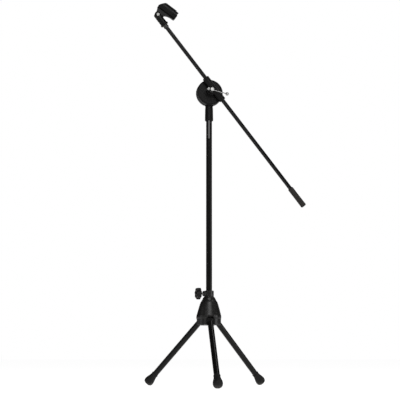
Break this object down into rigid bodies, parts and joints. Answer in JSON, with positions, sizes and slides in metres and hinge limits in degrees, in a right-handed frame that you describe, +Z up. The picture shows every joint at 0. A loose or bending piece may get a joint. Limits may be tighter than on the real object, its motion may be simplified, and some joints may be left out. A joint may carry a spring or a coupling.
{
  "type": "boom microphone stand",
  "caption": "Floor-standing folding tripod microphone stand with a disc-clutch sliding boom, tee-bar clamp, end grip and a pivoting split-barrel microphone clip.",
  "frame": {"origin": "on the floor, under the middle of the whole stand's box", "axes": "+Z up the mast, +X to the right seen from the front, front towards -Y"},
  "size_m": [0.5208, 0.3614, 1.2268],
  "materials": {
    "hub_plastic": "moulded satin",
    "knob_plastic": "moulded semi-gloss",
    "satin_black_steel": "satin powder coat",
    "gloss_black_steel": "gloss enamel",
    "clutch_plastic": "moulded satin",
    "foot_rubber": "matte",
    "grip_rubber": "matte",
    "friction_fibre": "matte",
    "nylon": "moulded",
    "chrome": "polished",
    "zinc_steel": "zinc plated",
    "black_stud_steel": "black oxide",
    "brass": "turned",
    "clip_plastic": "moulded satin"
  },
  "bodies": {
    "hub": {"hub_body": "hub_plastic", "hinge_pins": "zinc_steel", "knob_insert": "brass"},
    "pad": {"clamp_pad": "nylon"},
    "knob": {"base_knob": "knob_plastic", "knob_stud": "zinc_steel", "knob_ferrule": "zinc_steel"},
    "leg_1": {"leg_plug_1": "hub_plastic", "leg_tube_1": "satin_black_steel", "rubber_foot_1": "foot_rubber"},
    "leg_2": {"leg_plug_2": "hub_plastic", "leg_tube_2": "satin_black_steel", "rubber_foot_2": "foot_rubber"},
    "leg_3": {"leg_plug_3": "hub_plastic", "leg_tube_3": "satin_black_steel", "rubber_foot_3": "foot_rubber"},
    "mast": {"mast_lower_tube": "satin_black_steel", "mast_upper_tube": "gloss_black_steel", "mast_coupler": "zinc_steel", "mast_end_plug": "nylon", "mast_top_stud": "zinc_steel"},
    "head": {"swivel_head": "clutch_plastic", "neck_insert": "brass", "clutch_nut": "zinc_steel", "friction_washer": "friction_fibre"},
    "clamp": {"front_clutch_half": "clutch_plastic"},
    "cup": {"pressure_cup": "clutch_plastic"},
    "tee": {"clutch_bolt": "chrome"},
    "bar": {"tee_bar": "chrome", "tee_ball_left": "chrome", "tee_ball_right": "chrome"},
    "boom": {"boom_tube": "gloss_black_steel", "boom_stud": "black_stud_steel", "boom_grip": "grip_rubber", "clip_base": "clip_plastic", "clip_insert": "brass", "clip_screw": "zinc_steel", "clip_nut": "zinc_steel"},
    "clip": {"clip_barrel": "clip_plastic"}
  },
  "joints": [
    {"name": "leg_1_fold", "type": "hinge", "parent": "hub", "child": "leg_1", "pos_m": [-0.05084, 0.01471, 0.205], "axis": [0.9925, 0.1219, 0], "range_deg": [0, 43.6]},
    {"name": "leg_2_fold", "type": "hinge", "parent": "hub", "child": "leg_2", "pos_m": [-0.03324, 0.05617, 0.205], "axis": [-0.6018, 0.7986, 0], "range_deg": [0, 43.6]},
    {"name": "leg_3_fold", "type": "hinge", "parent": "hub", "child": "leg_3", "pos_m": [-0.07794, 0.05068, 0.205], "axis": [-0.3907, -0.9205, 0], "range_deg": [0, 43.6]},
    {"name": "pad_travel", "type": "slide", "parent": "hub", "child": "pad", "axis": [-0.9397, -0.342, 0], "range_m": [0, 0.002]},
    {"name": "knob_turn", "type": "hinge", "parent": "pad", "child": "knob", "pos_m": [-0.05401, 0.04052, 0.2865], "axis": [-0.9397, -0.342, 0], "range_deg": [0, 720.5]},
    {"name": "mast_slide", "type": "slide", "parent": "hub", "child": "mast", "axis": [0, 0, 1], "range_m": [-0.185, 0.03]},
    {"name": "head_turn", "type": "hinge", "parent": "mast", "child": "head", "pos_m": [-0.05401, 0.04052, 0.94], "axis": [0, 0, 1], "continuous": true},
    {"name": "clutch_tilt", "type": "hinge", "parent": "head", "child": "clamp", "pos_m": [-0.05401, 0.04052, 0.94], "axis": [0.2079, -0.9781, 0], "continuous": true},
    {"name": "cup_travel", "type": "slide", "parent": "head", "child": "cup", "axis": [0.2079, -0.9781, 0], "range_m": [0, 0.00125]},
    {"name": "tee_turn", "type": "hinge", "parent": "cup", "child": "tee", "pos_m": [-0.05401, 0.04052, 0.94], "axis": [0.2079, -0.9781, 0], "range_deg": [0, 360.5]},
    {"name": "tee_bar_slide", "type": "slide", "parent": "tee", "child": "bar", "axis": [-0.9531, -0.2026, 0.225], "range_m": [0, 0.0395]},
    {"name": "boom_slide", "type": "slide", "parent": "clamp", "child": "boom", "axis": [-0.6089, -0.1294, 0.7826], "range_m": [-0.15, 0.3]},
    {"name": "clip_tilt", "type": "hinge", "parent": "boom", "child": "clip", "pos_m": [-0.22099, -0.02155, 1.18405], "axis": [-0.2079, 0.9781, 0], "range_deg": [-155, 4]}
  ],
  "couplings": [
    {"joint": "knob_turn", "follows": "pad_travel", "rad_per_m": 6283.2},
    {"joint": "tee_turn", "follows": "cup_travel", "rad_per_m": 5026.5}
  ]
}
